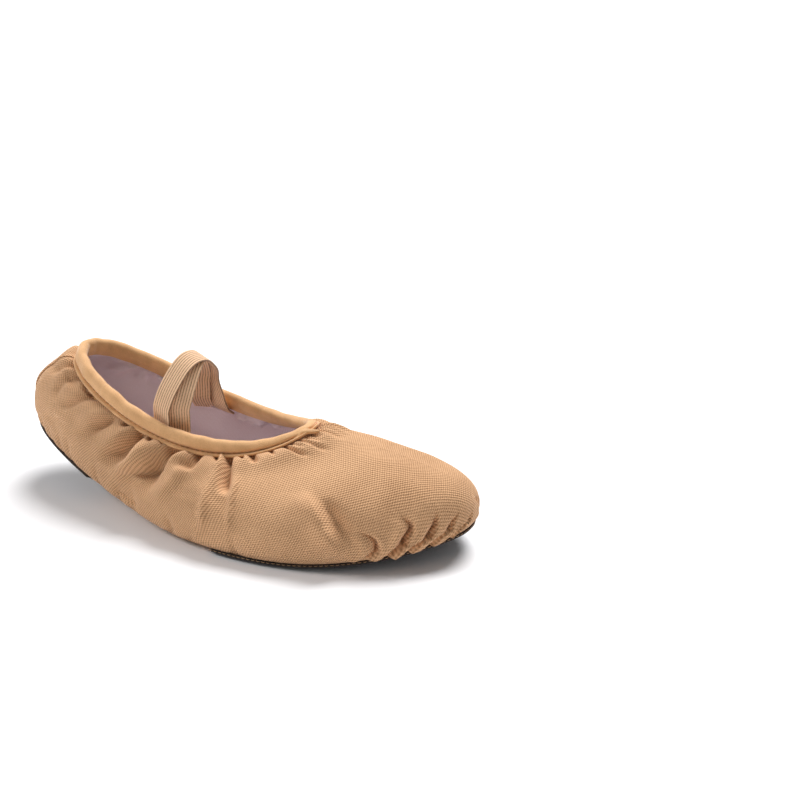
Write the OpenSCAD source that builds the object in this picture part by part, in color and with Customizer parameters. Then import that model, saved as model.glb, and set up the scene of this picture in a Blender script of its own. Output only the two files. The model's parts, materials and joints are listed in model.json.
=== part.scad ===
// Split-sole canvas ballet slipper, one shoe for the right foot.
// Millimetres. +X points to the toe, +Z is up, the sole stands on Z = 0.
// The origin lies on the ground below the middle of the outline.

/* [Shoe] */
// Length from the back of the heel to the tip of the toe
shoe_len = 230; // [220:1:240]
// Half width of the outline across the ball of the foot
ball_half_w = 47.5; // [45:0.5:50]
// Half width of the outline at the middle of the foot
waist_half_w = 42.5; // [40:0.5:45]
// Half width value that sets how round the heel is
heel_half_w = 36; // [33:0.5:38]
// Half width value that sets how blunt the toe is
toe_half_w = 36; // [33:0.5:39]
// Sideways bend of the outline, to the outer side of the foot
foot_bend = 12; // [8:0.5:14]

/* [Curl] */
// How far the toe end of the sole curls up
toe_spring = 10.5; // [6:0.5:14]
// How far the heel end of the sole curls up
heel_raise = 27; // [20:0.5:30]

/* [Opening] */
// Half length of the foot opening
open_half_len = 63; // [60:0.5:65]
// Half width of the foot opening
open_half_w = 25.5; // [24.5:0.5:27]
// Height of the binding above the canvas
binding_h = 8; // [7:0.5:9]

/* [Straps] */
// Width of each elastic strap
strap_w = 10; // [8:0.5:10]
// Thickness of each elastic strap
strap_t = 0.8; // [0.6:0.1:0.9]
// Height of the middle of each strap's half circle, where its pivot is
strap_z = 51; // [49:0.5:53]

/* [Layers] */
// Thickness of the canvas
canvas_t = 1.1; // [0.8:0.1:1.2]
// Thickness of the suede sole patches
suede_t = 1.6; // [1.4:0.1:1.8]
// Thickness of the insole foam
foam_t = 2.5; // [2:0.1:3]

/* [Hidden] */

half_len = shoe_len / 2;
// Radius where the upper turns under the sole
under_r = 6;
// Distances from the outer face of the canvas to the two faces of the lining
lining_out = canvas_t + 0.25;
lining_in = lining_out + 0.5;
// How far the strip down the back of the heel stands out
strip_out = 0.9;
// The hinge of the arch, where the upper folds
hinge_x = 2;
hinge_z = 22;
// Angles of the two sides of the open wedge under the hinge, from straight down
wedge_front = 22;
wedge_back = 64.5;
hinge_gap = 0.4;
// Where the flat part of the sole ends
flat_front = 36;
flat_back = -8;
// The middle of the two straps, their turn to either side and their lean to the toe
strap_x = -31;
strap_turn = 15;
strap_lean = 14;
// Centre of the foot opening along the shoe
open_x = -27;

function clamp(v, lo, hi) = max(lo, min(hi, v));
function mix(a, b, f) = a + (b - a) * f;
function ease(f) = f * f * (3 - 2 * f);
function unit(v) = v / norm(v);

// Half width of the outline: a cubic through the heel, waist, ball and toe values
bow = (toe_half_w + heel_half_w) / 2 - waist_half_w;
lean = (toe_half_w - heel_half_w) / 2;
cube_term = (lean / 2 - (ball_half_w - waist_half_w - bow / 4)) / 0.375;
function half_width(u) = waist_half_w + (lean - cube_term) * u + bow * u * u + cube_term * pow(u, 3);

// The outline of the shoe from above; a is 0 at the toe, 90 at the inner side, 180 at the heel
function edge_turn(a) = a + 12 * sin(a);
function raw_edge_y(a) = let(u = cos(edge_turn(a)), s = sin(edge_turn(a)))
    sign(s) * pow(abs(s), 0.82) * half_width(u) - foot_bend * (1 - u * u);
edge_ys = [for (a = [0:3:357]) raw_edge_y(a)];
mid_shift = -(max(edge_ys) + min(edge_ys)) / 2;
function centre_y(x) = mid_shift - foot_bend * (1 - pow(x / half_len, 2));
function edge_pt(a) = [strip_out / 2 + (half_len - strip_out / 2) * cos(edge_turn(a)), raw_edge_y(a) + mid_shift];

// Height of the underside of the canvas above the ground
function sole_z(x) = suede_t
    + toe_spring * pow(max(0, (x - flat_front) / (half_len - flat_front)), 2)
    + heel_raise * pow(max(0, (flat_back - x) / (half_len + flat_back)), 1.5);

// The line where the canvas meets the binding, and the way the binding points from it
function topline(a) = let(x = open_x + open_half_len * cos(a), c = cos(a))
    [x, sin(a) * open_half_w * (1 - 0.063 * c) + mid_shift + 3 - foot_bend / 2 * (1 - pow(x / half_len, 2)),
     36.5 - 13 * c + 15 * c * c + 6.4 * pow(c, 3)];
function throat_lean(a) = clamp((cos(a) - 0.3) / 0.7, 0, 1);
function rise(a) = unit([-0.31 * cos(a) - 0.75 * throat_lean(a), -0.12 * sin(a), 1 - 0.72 * throat_lean(a)]);
function topline_out(a) = unit(cross(topline(a + 1) - topline(a - 1), rise(a)));

// A point of the outline moved in towards the middle line of the sole
function spine_pt(e) = [0.61 * e.x, centre_y(0.61 * e.x)];
function inset(e, d) = let(s = spine_pt(e)) e + (s - e) * min(1, d / norm(s - e));

// The outer face of the canvas. k runs from -2 (middle of the sole) through -1 (end of the flat
// underside), 0 (edge of the sole) and 1 (topline) to 1.1 (top edge, hidden in the binding)
function wall_lean(a) = mix(62, 88, ease(clamp(cos(a), 0, 1)));
function wall(a, k) = let(e = edge_pt(a), top = topline(a))
    k > 1 ? top + rise(a) * (k - 1) * 30 :
    k >= 0 ? let(lean_max = wall_lean(a), p = k * lean_max,
            f = pow((1 - cos(p)) / (1 - cos(lean_max)), 1.05),
            g = pow(sin(p) / sin(lean_max), 0.8),
            low = sole_z(e.x) + under_r)
        [mix(e.x, top.x, f), mix(e.y, top.y, f), mix(low, top.z, g)] :
    k >= -1 ? let(p = inset(e, under_r * (1 - cos(90 * k))))
        [p.x, p.y, sole_z(p.x) + under_r * (1 + sin(90 * k))] :
    let(reach = norm(spine_pt(e) - e), p = inset(e, mix(under_r, reach, -1 - k)))
        [p.x, p.y, sole_z(p.x)];
function wall_out(a, k) = let(da = wall(a + 1, k) - wall(a - 1, k),
        dk = wall(a, min(k + 0.03, 1.12)) - wall(a, k - 0.03))
    unit(cross(da, dk));
function layer(a, k, depth) = wall(a, k) - wall_out(a, k) * depth;

// The two cuts beside the hinge of the arch
function front_cut(z) = hinge_x + hinge_gap - max(0, hinge_z - z) * tan(wedge_front);
function back_cut(z) = hinge_x - hinge_gap - max(0, hinge_z - z) * tan(wedge_back);
function past_cut(side, a, k, front) = let(p = wall(side * a, k))
    p.x - (front ? front_cut(p.z) : back_cut(p.z));
// The angle at which a row of the wall meets a cut, found by halving the range
function cut_angle(side, k, front, lo = 10, hi = 170, n = 14) = n == 0 ? (lo + hi) / 2 :
    let(mid = (lo + hi) / 2)
    past_cut(side, mid, k, front) > 0 ? cut_angle(side, k, front, mid, hi, n - 1)
                                      : cut_angle(side, k, front, lo, mid, n - 1);

// A closed sheet between two grids of points, each a list of rows of equal length
module sheet(outer, inner) {
    rows = len(outer);
    cols = len(outer[0]);
    half = rows * cols;
    points = concat([for (row = outer) for (p = row) p], [for (row = inner) for (p = row) p]);
    faces = concat(
        [for (i = [0:rows - 2]) for (j = [0:cols - 2]) let(p = i * cols + j) each
            [[p, p + cols, p + cols + 1], [p, p + cols + 1, p + 1],
             [half + p, half + p + 1, half + p + cols + 1], [half + p, half + p + cols + 1, half + p + cols]]],
        [for (j = [0:cols - 2]) let(b = (rows - 1) * cols + j) each
            [[j, j + 1, half + j + 1], [j, half + j + 1, half + j],
             [b + 1, b, half + b], [b + 1, half + b, half + b + 1]]],
        [for (i = [0:rows - 2]) let(p = i * cols, q = p + cols - 1) each
            [[p + cols, p, half + p], [p + cols, half + p, half + p + cols],
             [q, q + cols, half + q + cols], [q, half + q + cols, half + q]]]);
    polyhedron(points, faces);
}

// A closed tube: rings of points, the last ring joined to the first
module ring_tube(rings) {
    n = len(rings);
    m = len(rings[0]);
    points = [for (ring = rings) for (p = ring) p];
    faces = [for (i = [0:n - 1]) for (j = [0:m - 1])
        let(p = i * m + j, q = i * m + (j + 1) % m, r = ((i + 1) % n) * m + j, s = ((i + 1) % n) * m + (j + 1) % m)
        each [[p, r, s], [p, s, q]]];
    polyhedron(points, faces);
}

// A sheet of the upper between two angles that depend on the row
module upper_sheet(rows, cols, from_angle, to_angle, d0, d1) {
    grid = [for (i = [0:len(rows) - 1])
        [for (j = [0:cols]) mix(from_angle[i], to_angle[i], j / cols)]];
    sheet([for (i = [0:len(rows) - 1]) [for (a = grid[i]) layer(a, rows[i], d0)]],
          [for (i = [0:len(rows) - 1]) [for (a = grid[i]) layer(a, rows[i], d1)]]);
}

vamp_rows = [-1.92, -1.66, -1.4, -1.2, -1, -0.75, -0.5, -0.25, 0, 0.07, 0.16, 0.27, 0.38, 0.5, 0.62, 0.74, 0.86, 0.95, 1, 1.05, 1.1];
lining_rows = [for (k = vamp_rows) if (k > -1.5) k];
quarter_rows = concat([-2], vamp_rows);
back_low = [for (k = quarter_rows) -cut_angle(-1, k, false)];
back_high = [for (k = quarter_rows) cut_angle(1, k, false)];

module front_sheet(rows, cols, d0, d1) {
    low = [for (k = rows) -cut_angle(-1, k, true)];
    high = [for (k = rows) cut_angle(1, k, true)];
    upper_sheet(rows, cols, low, high, d0, d1);
}

module vamp() {
    color("burlywood") front_sheet(vamp_rows, 40, 0, canvas_t);
}

module vamp_lining() {
    color("thistle") front_sheet(lining_rows, 32, lining_out, lining_in);
}

// Stops just short of the middle line at the heel and under the sole
heel_seam = 0.35;
module quarter(side) {
    near_mid = 180 - heel_seam;
    rows = quarter_rows;
    ends = side > 0 ? back_high : [for (a = back_low) -a];
    from = [for (i = [0:len(rows) - 1]) side > 0 ? ends[i] : -near_mid];
    to = [for (i = [0:len(rows) - 1]) side > 0 ? near_mid : -ends[i]];
    shift = [for (k = rows) k < -1.9 ? side * 0.3 : 0];
    outer = [for (i = [0:len(rows) - 1]) [for (j = [0:16])
        layer(mix(from[i], to[i], j / 16), rows[i], 0) + [0, shift[i], 0]]];
    inner = [for (i = [0:len(rows) - 1]) [for (j = [0:16])
        layer(mix(from[i], to[i], j / 16), rows[i], canvas_t) + [0, shift[i], 0]]];
    sheet(outer, inner);
}

module lateral_quarter() {
    color("tan") quarter(-1);
}

module medial_quarter() {
    color("wheat") quarter(1);
}

module quarter_lining() {
    low = [for (k = lining_rows) cut_angle(1, k, false)];
    high = [for (k = lining_rows) 360 - cut_angle(-1, k, false)];
    color("lavender") upper_sheet(lining_rows, 30, low, high, lining_out, lining_in);
}

module heel_strip() {
    rows = [0.1, 0.2, 0.3, 0.42, 0.54, 0.66, 0.78, 0.88, 0.96];
    low = [for (k = rows) 180 - mix(8, 11, k)];
    high = [for (k = rows) 180 + mix(8, 11, k)];
    color("peru") upper_sheet(rows, 6, low, high, -strip_out, -0.1);
}

// Outline of a sole patch: the edge moved in by d between two angles, closed by a shallow arc
function patch_outline(from, to, d, bulge) = let(
        n = round((to - from) / 4),
        edge = [for (i = [0:n]) inset(edge_pt(mix(from, to, i / n)), d)],
        first = edge[0], last = edge[len(edge) - 1])
    concat(edge, [for (i = [1:7]) let(f = i / 8)
        [mix(last.x, first.x, f) + bulge * sin(180 * f), mix(last.y, first.y, f)]]);
// Side view of a layer that follows the curl of the sole between two heights above it
function curl_profile(x0, x1, z0, z1) = let(n = 14, xs = [for (i = [0:n]) mix(x0, x1, i / n)],
        bends = concat([x0], [for (x = xs) if (x < flat_back - 4 && x > x0) x], [flat_back, flat_front],
            [for (x = xs) if (x > flat_front + 4 && x < x1) x], [x1]),
        stops = [for (x = bends) if (x >= x0 && x <= x1) x])
    concat([for (x = stops) [x, sole_z(x) + z0]],
           [for (i = [len(stops) - 1:-1:0]) [stops[i], sole_z(stops[i]) + z1]]);
module curled_layer(outline, x0, x1, z0, z1) {
    intersection() {
        linear_extrude(90) polygon(outline);
        translate([0, 80, 0]) rotate([90, 0, 0]) linear_extrude(160) polygon(curl_profile(x0, x1, z0, z1));
    }
}
// How far the suede patches lie in from the widest outline, and below the canvas
patch_inset = 6.6;
patch_gap = 0.15;
front_patch = patch_outline(-74, 74, patch_inset, -10);
heel_patch = patch_outline(118, 242, patch_inset, 9);

module front_outsole() {
    color("saddlebrown") curled_layer(front_patch, -20, 112, -suede_t, -patch_gap);
}

module heel_outsole() {
    color("sienna") curled_layer(heel_patch, -112, -50, -suede_t, -patch_gap);
}

pad_z = lining_in + 0.2;
pad_top = pad_z + foam_t;
module front_pad() {
    color("khaki") curled_layer(patch_outline(-72, 72, 8.5, -8), -20, 112, pad_z, pad_top);
}

module heel_pad() {
    color("palegoldenrod") curled_layer(patch_outline(104, 256, 8.5, 4), -112, -30, pad_z, pad_top);
}

module front_sock() {
    color("ghostwhite") curled_layer(patch_outline(-72, 72, 9, -8), -20, 112, pad_top + 0.1, pad_top + 0.6);
}

module heel_sock() {
    color("whitesmoke") curled_layer(patch_outline(104, 256, 9, 4), -112, -30, pad_top + 0.1, pad_top + 0.6);
}

// A thread laid along a flat closed path, lifted above the curl of the sole
module sole_thread(path, lift, r) {
    n = len(path);
    ring_tube([for (i = [0:n - 1]) let(
            p = path[i], t = unit(path[(i + 1) % n] - path[(i + n - 1) % n]), side = [t.y, -t.x])
        [for (j = [0:5]) [p.x + side.x * r * cos(60 * j), p.y + side.y * r * cos(60 * j),
            sole_z(p.x) + lift + r * sin(60 * j)]]]);
}

module front_sole_stitching() {
    color("linen") sole_thread(patch_outline(-74.6, 74.6, patch_inset - 0.9, -10.2), -0.45, 0.35);
}

module heel_sole_stitching() {
    color("linen") sole_thread(patch_outline(117.4, 242.6, patch_inset - 0.9, 9.2), -0.45, 0.35);
}

module heel_pad_stitching() {
    oval = [for (a = [0:15:345]) [-82 + 22 * cos(a), centre_y(-82) + 17 * sin(a)]];
    color("dimgray") sole_thread(oval, pad_top + 1.05, 0.35);
}

module label_tab() {
    rows = [0.84, 0.9, 0.96];
    low = [for (k = rows) 226];
    high = [for (k = rows) 242];
    color("goldenrod") upper_sheet(rows, 5, low, high, lining_in + 0.3, lining_in + 1.1);
}

// The canvas under the arch: from the hinge on one side, under the sole, to the hinge on the other
arch_rows = [0.36, 0.3, 0.22, 0.14, 0.07, 0, -0.25, -0.5, -0.75, -1, -1.3, -1.65];
arch_gap = 0.3;
function arch_row(side, k, d) = let(
        a0 = cut_angle(side, k, true), a1 = cut_angle(side, k, false),
        step = arch_gap / norm(wall(side * a0, k) - wall(side * a1, k)))
    [for (j = [0:6]) layer(side * mix(a0, a1, mix(step, 1 - step, j / 6)), k, d)];
function arch_middle(d) = let(a = arch_row(-1, -1.98, d), b = arch_row(1, -1.98, d))
    [for (j = [0:6]) (a[j] + b[j]) / 2];
function arch_grid(d) = concat([for (k = arch_rows) arch_row(-1, k, d)], [arch_middle(d)],
    [for (i = [len(arch_rows) - 1:-1:0]) arch_row(1, arch_rows[i], d)]);

module arch_panel() {
    color("darkkhaki") sheet(arch_grid(canvas_t), arch_grid(0));
}

module arch_lining() {
    color("plum") sheet(arch_grid(lining_in), arch_grid(lining_out));
}

// The binding and what runs in it: sections given as [outward, upward] from the topline
function loop_rings(section, n) = [for (i = [0:n - 1]) let(a = 360 * i / n,
        out = topline_out(a), up = rise(a), p = topline(a))
    [for (s = section) p + out * s[0] + up * s[1]]];
top_h = binding_h;
binding_section = [[1.05, 0.5], [1.45, 2.5], [1.3, top_h - 2], [0.5, top_h - 0.5], [-0.95, top_h],
    [-2.4, top_h - 0.5], [-3.1, top_h - 2], [-3.2, 2.5], [-2.9, 0.5],
    [-2.1, 0.5], [-2.1, top_h - 1.9], [-1.4, top_h - 1], [-0.5, top_h - 1], [0.25, top_h - 1.9], [0.25, 0.5]];

module binding() {
    color("orange") ring_tube(loop_rings(binding_section, 60));
}

module topline_elastic() {
    color("white") ring_tube(loop_rings([[-0.4, 3.4], [-0.4, top_h - 1.8], [-1.6, top_h - 1.8], [-1.6, 3.4]], 60));
}

module binding_stitching() {
    section = [for (j = [0:5]) [1.6 + 0.3 * cos(60 * j), 1.3 + 0.3 * sin(-60 * j)]];
    color("darkorange") ring_tube(loop_rings(section, 72));
}

// The straps: half circles of elastic about one centre, turned to either side
strap_y = topline(90).y - open_half_w;
outer_r = 20.3;
inner_r = 18.3;
module strap_arch(r) {
    rotate([90, 0, 90]) translate([0, 0, -strap_w / 2])
        rotate_extrude(angle = 180, $fn = 64) translate([r - strap_t, 0]) square([strap_t, strap_w]);
}
module at_strap(turn) {
    translate([strap_x, strap_y, strap_z]) rotate([0, 0, turn]) children();
}

module strap_outer() {
    color("navajowhite") at_strap(-strap_turn) rotate([0, strap_lean, 0]) strap_arch(outer_r);
}

module strap_inner() {
    color("moccasin") at_strap(strap_turn) rotate([0, strap_lean, 0]) strap_arch(inner_r);
}

// The sewn end of a strap, from below its pivot to the lining under the binding
lateral_reach = 24.6;
medial_reach = 23.2;
module strap_tab(r, reach) {
    rotate([90, 0, 90]) translate([0, 0, -strap_w / 2]) linear_extrude(strap_w)
        polygon([[r - strap_t, -3.8], [r, -3.8], [r, -11], [21, -13.5], [reach, -17], [reach - 0.4, -17.7],
            [20.2, -14], [r - strap_t, -11.3]]);
}

module outer_tab_lateral() {
    color("navajowhite") at_strap(180 - strap_turn) strap_tab(outer_r, lateral_reach);
}

module outer_tab_medial() {
    color("navajowhite") at_strap(-strap_turn) strap_tab(outer_r, medial_reach);
}

module inner_tab_lateral() {
    color("moccasin") at_strap(180 + strap_turn) strap_tab(inner_r, lateral_reach);
}

module inner_tab_medial() {
    color("moccasin") at_strap(strap_turn) strap_tab(inner_r, medial_reach);
}

vamp();
vamp_lining();
front_outsole();
front_pad();
front_sock();
front_sole_stitching();
lateral_quarter();
medial_quarter();
quarter_lining();
heel_strip();
heel_outsole();
heel_pad();
heel_sock();
heel_sole_stitching();
heel_pad_stitching();
label_tab();
arch_panel();
arch_lining();
binding();
topline_elastic();
binding_stitching();
strap_outer();
strap_inner();
outer_tab_lateral();
outer_tab_medial();
inner_tab_lateral();
inner_tab_medial();
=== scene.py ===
"""A split-sole canvas ballet slipper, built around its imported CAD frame.

Everything is in metres in the frame's own axes: +X to the toe, +Y to the inner side of the
foot, +Z up. The curves of the shoe (outline, topline, wall) are the same as the CAD model's.
Angles run round the shoe, seen from above: 0 at the toe, 90 at the inner side, 180 at the heel.
"""

import copy
import json
import math

import bpy
import numpy as np
from mathutils import Matrix, Vector


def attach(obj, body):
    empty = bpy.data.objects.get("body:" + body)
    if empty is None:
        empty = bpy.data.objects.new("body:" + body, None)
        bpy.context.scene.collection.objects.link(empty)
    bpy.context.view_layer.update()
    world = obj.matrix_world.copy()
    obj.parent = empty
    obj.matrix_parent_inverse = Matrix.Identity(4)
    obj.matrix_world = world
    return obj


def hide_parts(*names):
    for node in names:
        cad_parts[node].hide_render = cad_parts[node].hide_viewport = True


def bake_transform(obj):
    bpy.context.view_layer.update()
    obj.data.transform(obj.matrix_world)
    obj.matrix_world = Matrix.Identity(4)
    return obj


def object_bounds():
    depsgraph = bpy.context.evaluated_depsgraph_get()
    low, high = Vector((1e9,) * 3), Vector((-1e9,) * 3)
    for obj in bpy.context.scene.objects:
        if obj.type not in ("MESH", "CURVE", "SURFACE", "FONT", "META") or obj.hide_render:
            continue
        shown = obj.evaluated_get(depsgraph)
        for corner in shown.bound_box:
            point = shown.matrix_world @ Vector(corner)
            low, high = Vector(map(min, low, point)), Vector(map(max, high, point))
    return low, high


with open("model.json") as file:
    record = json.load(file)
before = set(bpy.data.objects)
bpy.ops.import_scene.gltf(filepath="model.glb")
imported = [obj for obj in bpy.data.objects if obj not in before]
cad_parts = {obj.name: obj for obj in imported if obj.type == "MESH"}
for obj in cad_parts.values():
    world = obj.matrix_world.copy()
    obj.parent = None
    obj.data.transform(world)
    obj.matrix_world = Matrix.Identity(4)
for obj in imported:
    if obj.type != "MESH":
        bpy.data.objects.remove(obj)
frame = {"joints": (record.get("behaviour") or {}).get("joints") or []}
cad_low, cad_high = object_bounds()

MM = 0.001
rng = np.random.default_rng(7)

# ---------------------------------------------------------------- driving sizes

HALF_LEN = (cad_high.x - cad_low.x) / 2
# How far the heel strip stands out behind the canvas
STRIP_OUT = 0.9 * MM
# The rounding where the wall turns under, and the thickness of the suede below it
UNDER_R = 6 * MM
SUEDE_T = 1.6 * MM
# The sole is flat between FLAT_BACK and FLAT_FRONT; the toe tip and the heel rise from there
TOE_SPRING = 10.5 * MM
HEEL_RAISE = 27 * MM
FLAT_FRONT = 36 * MM
FLAT_BACK = -8 * MM
# How far the middle of the shoe bows to the outer side
FOOT_BEND = 12 * MM
# The opening's middle and half sizes, seen from above
OPEN_X = -27 * MM
OPEN_HALF_LEN = 63 * MM
OPEN_HALF_W = 25.5 * MM
# Where the vamp meets the quarters
SEAM_X = 2 * MM
JOINT = {j["name"]: j for j in frame["joints"]}
HINGE = Vector(JOINT["arch_flex"]["pos_m"])
STRAP_CENTRE = Vector(JOINT["strap_outer_swing"]["pos_m"])
# Half widths that the outline passes through, at the heel, waist, ball and toe
HEEL_W, WAIST_W, BALL_W, TOE_W = 36 * MM, 42.5 * MM, 47.5 * MM, 36 * MM
BOW = (TOE_W + HEEL_W) / 2 - WAIST_W
LEAN = (TOE_W - HEEL_W) / 2
CUBE = (LEAN / 2 - (BALL_W - WAIST_W - BOW / 4)) / 0.375
TAU = 2 * math.pi


# ---------------------------------------------------------------- the curves of the shoe

def mix(a, b, f):
    return a + (b - a) * f


def ease(f):
    f = np.clip(f, 0, 1)
    return f * f * (3 - 2 * f)


def stack(*parts):
    return np.stack(np.broadcast_arrays(*parts), -1)


def unit(v):
    return v / np.maximum(np.linalg.norm(v, axis=-1, keepdims=True), 1e-12)


def half_width(u):
    return WAIST_W + (LEAN - CUBE) * u + BOW * u ** 2 + CUBE * u ** 3


def edge_turn(a):
    return a + math.radians(12) * np.sin(a)


def raw_edge_y(a):
    u, s = np.cos(edge_turn(a)), np.sin(edge_turn(a))
    return np.sign(s) * np.abs(s) ** 0.82 * half_width(u) - FOOT_BEND * (1 - u * u)


EDGE_YS = raw_edge_y(np.radians(np.arange(0, 360, 3)))
MID_SHIFT = -(EDGE_YS.max() + EDGE_YS.min()) / 2


def centre_y(x):
    return MID_SHIFT - FOOT_BEND * (1 - (x / HALF_LEN) ** 2)


def edge(a):
    """The widest outline of the shoe, from above."""
    x = STRIP_OUT / 2 + (HALF_LEN - STRIP_OUT / 2) * np.cos(edge_turn(a))
    return stack(x, raw_edge_y(a) + MID_SHIFT)


def sole_z(x):
    """Height of the underside of the canvas above the ground."""
    toe = np.maximum(0, (x - FLAT_FRONT) / (HALF_LEN - FLAT_FRONT)) ** 2
    heel = np.maximum(0, (FLAT_BACK - x) / (HALF_LEN + FLAT_BACK)) ** 1.5
    return SUEDE_T + TOE_SPRING * toe + HEEL_RAISE * heel


def topline(a):
    """Where the canvas meets the binding."""
    c = np.cos(a)
    x = OPEN_X + OPEN_HALF_LEN * c
    y = np.sin(a) * OPEN_HALF_W * (1 - 0.063 * c) + MID_SHIFT + 3 * MM
    y = y - FOOT_BEND / 2 * (1 - (x / HALF_LEN) ** 2)
    return stack(x, y, (36.5 - 13 * c + 15 * c ** 2 + 6.4 * c ** 3) * MM)


def rise(a):
    """The way the binding stands up from the topline."""
    lean = np.clip((np.cos(a) - 0.3) / 0.7, 0, 1)
    return unit(stack(-0.31 * np.cos(a) - 0.75 * lean, -0.12 * np.sin(a), 1 - 0.72 * lean))


def topline_out(a):
    step = math.radians(1)
    return unit(np.cross(topline(a + step) - topline(a - step), rise(a)))


def spine(e):
    x = 0.61 * e[..., 0]
    return stack(x, centre_y(x))


def inset(e, d):
    s = spine(e)
    reach = np.linalg.norm(s - e, axis=-1)
    return e + (s - e) * np.minimum(1, d / reach)[..., None]


def wall(a, k):
    """The outer face of the canvas. k is -2 at the middle of the sole, -1 at the end of the
    flat underside, 0 at the edge of the sole, 1 at the topline, 1.1 inside the binding."""
    a, k = np.broadcast_arrays(np.asarray(a, float), np.asarray(k, float))
    e, top = edge(a), topline(a)
    lean_max = np.radians(mix(62, 88, ease(np.cos(a))))
    p = np.clip(k, 0, 1) * lean_max
    f = ((1 - np.cos(p)) / (1 - np.cos(lean_max))) ** 1.05
    g = (np.sin(p) / np.sin(lean_max)) ** 0.8
    low = sole_z(e[..., 0]) + UNDER_R
    side = stack(mix(e[..., 0], top[..., 0], f), mix(e[..., 1], top[..., 1], f),
                 mix(low, top[..., 2], g))
    turn = np.clip(k, -1, 0) * math.pi / 2
    reach = np.linalg.norm(spine(e) - e, axis=-1)
    d = np.where(k < -1, mix(UNDER_R, reach, -1 - k), UNDER_R * (1 - np.cos(turn)))
    under = inset(e, d)
    under = stack(under[..., 0], under[..., 1], sole_z(under[..., 0]) + UNDER_R * (1 + np.sin(turn)))
    hidden = top + rise(a) * ((k - 1) * 30 * MM)[..., None]
    return np.where((k > 1)[..., None], hidden, np.where((k >= 0)[..., None], side, under))


def wall_out(a, k):
    step = math.radians(1)
    along = wall(a + step, k) - wall(a - step, k)
    up = wall(a, np.minimum(k + 0.03, 1.12)) - wall(a, k - 0.03)
    return unit(np.cross(along, up))


def smooth_curve(points, n, closed=False):
    """n points of a Catmull-Rom curve through a few points of any dimension."""
    p = np.asarray(points, float)
    m = len(p) if closed else len(p) - 1
    t = np.linspace(0, m, n, endpoint=not closed)
    i = np.minimum(t.astype(int), m - 1)
    f = (t - i)[:, None]
    if closed:
        q = [p[(i + d) % len(p)] for d in (-1, 0, 1, 2)]
    else:
        padded_p = np.vstack([2 * p[0] - p[1], p, 2 * p[-1] - p[-2]])
        q = [padded_p[i + d] for d in (0, 1, 2, 3)]
    return 0.5 * (2 * q[1] + (q[2] - q[0]) * f + (2 * q[0] - 5 * q[1] + 4 * q[2] - q[3]) * f ** 2
                  + (3 * q[1] - q[0] - 3 * q[2] + q[3]) * f ** 3)


# ---------------------------------------------------------------- making meshes

def new_mesh(name, verts, faces, material, uvs=None, smooth=True):
    mesh = bpy.data.meshes.new(name)
    mesh.from_pydata(np.asarray(verts).tolist(), [], np.asarray(faces).tolist())
    mesh.polygons.foreach_set("use_smooth", [smooth] * len(mesh.polygons))
    if uvs is not None:
        layer = mesh.uv_layers.new(name="UVMap")
        loops = np.zeros(len(mesh.loops), int)
        mesh.loops.foreach_get("vertex_index", loops)
        layer.data.foreach_set("uv", np.asarray(uvs, float)[loops].ravel())
    mesh.materials.append(material)
    obj = bpy.data.objects.new(name, mesh)
    bpy.context.scene.collection.objects.link(obj)
    return obj


def grid_faces(rows, cols, closed=False):
    i, j = np.meshgrid(np.arange(rows - 1), np.arange(cols if closed else cols - 1), indexing="ij")
    j1 = (j + 1) % cols
    quads = np.stack([i * cols + j, i * cols + j1, (i + 1) * cols + j1, (i + 1) * cols + j], -1)
    return quads.reshape(-1, 4)


def grid(name, points, material, uvs, closed=False):
    """A sheet through a grid of points; closed joins its last column to the first."""
    rows, cols = points.shape[:2]
    faces = grid_faces(rows, cols, closed)
    return new_mesh(name, points.reshape(-1, 3), faces, material, uvs.reshape(-1, 2))


def thick_grid(name, outer, inner, material, uvs):
    """A closed sheet between two grids of points."""
    rows, cols = outer.shape[:2]
    half = rows * cols
    top = grid_faces(rows, cols)
    rim = np.concatenate([np.arange(cols), np.arange(1, rows) * cols + cols - 1,
                          (rows - 1) * cols + np.arange(cols - 2, -1, -1),
                          np.arange(rows - 2, 0, -1) * cols])
    after = np.roll(rim, -1)
    side = np.stack([rim, rim + half, after + half, after], -1)
    faces = np.vstack([top, top[:, ::-1] + half, side])
    verts = np.vstack([outer.reshape(-1, 3), inner.reshape(-1, 3)])
    return new_mesh(name, verts, faces, material, np.vstack([uvs.reshape(-1, 2)] * 2))


def cloth_uv(a, k):
    """Lays the wall out flat, in metres: out from the topline along each line of equal angle."""
    points = wall(a, k)
    steps = np.linalg.norm(np.diff(points, axis=0), axis=-1)
    length = np.vstack([np.zeros((1, points.shape[1])), np.cumsum(steps, 0)])
    from_top = length[-1:] - length
    way = unit(edge(a[-1]) - topline(a[-1])[..., :2])
    start = topline(a[-1])[..., :2]
    return start[None] + way[None] * from_top[..., None]


# Lengths round the shoe, half way up the wall
ROUND_A = np.linspace(0, TAU, 721)
ROUND_STEPS = np.linalg.norm(np.diff(wall(ROUND_A, np.full(721, 0.5)), axis=0), axis=-1)
ROUND_LENGTH = np.concatenate([[0], np.cumsum(ROUND_STEPS)])


def side_uv(a, k):
    """Lays a side piece out flat, in metres: along the side half way up, and down from the topline."""
    steps = np.linalg.norm(np.diff(wall(a, k), axis=0), axis=-1)
    down = np.vstack([np.zeros((1, k.shape[1])), np.cumsum(steps, 0)])
    return stack(np.interp(np.mod(a, TAU), ROUND_A, ROUND_LENGTH), down[-1:] - down)


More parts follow.
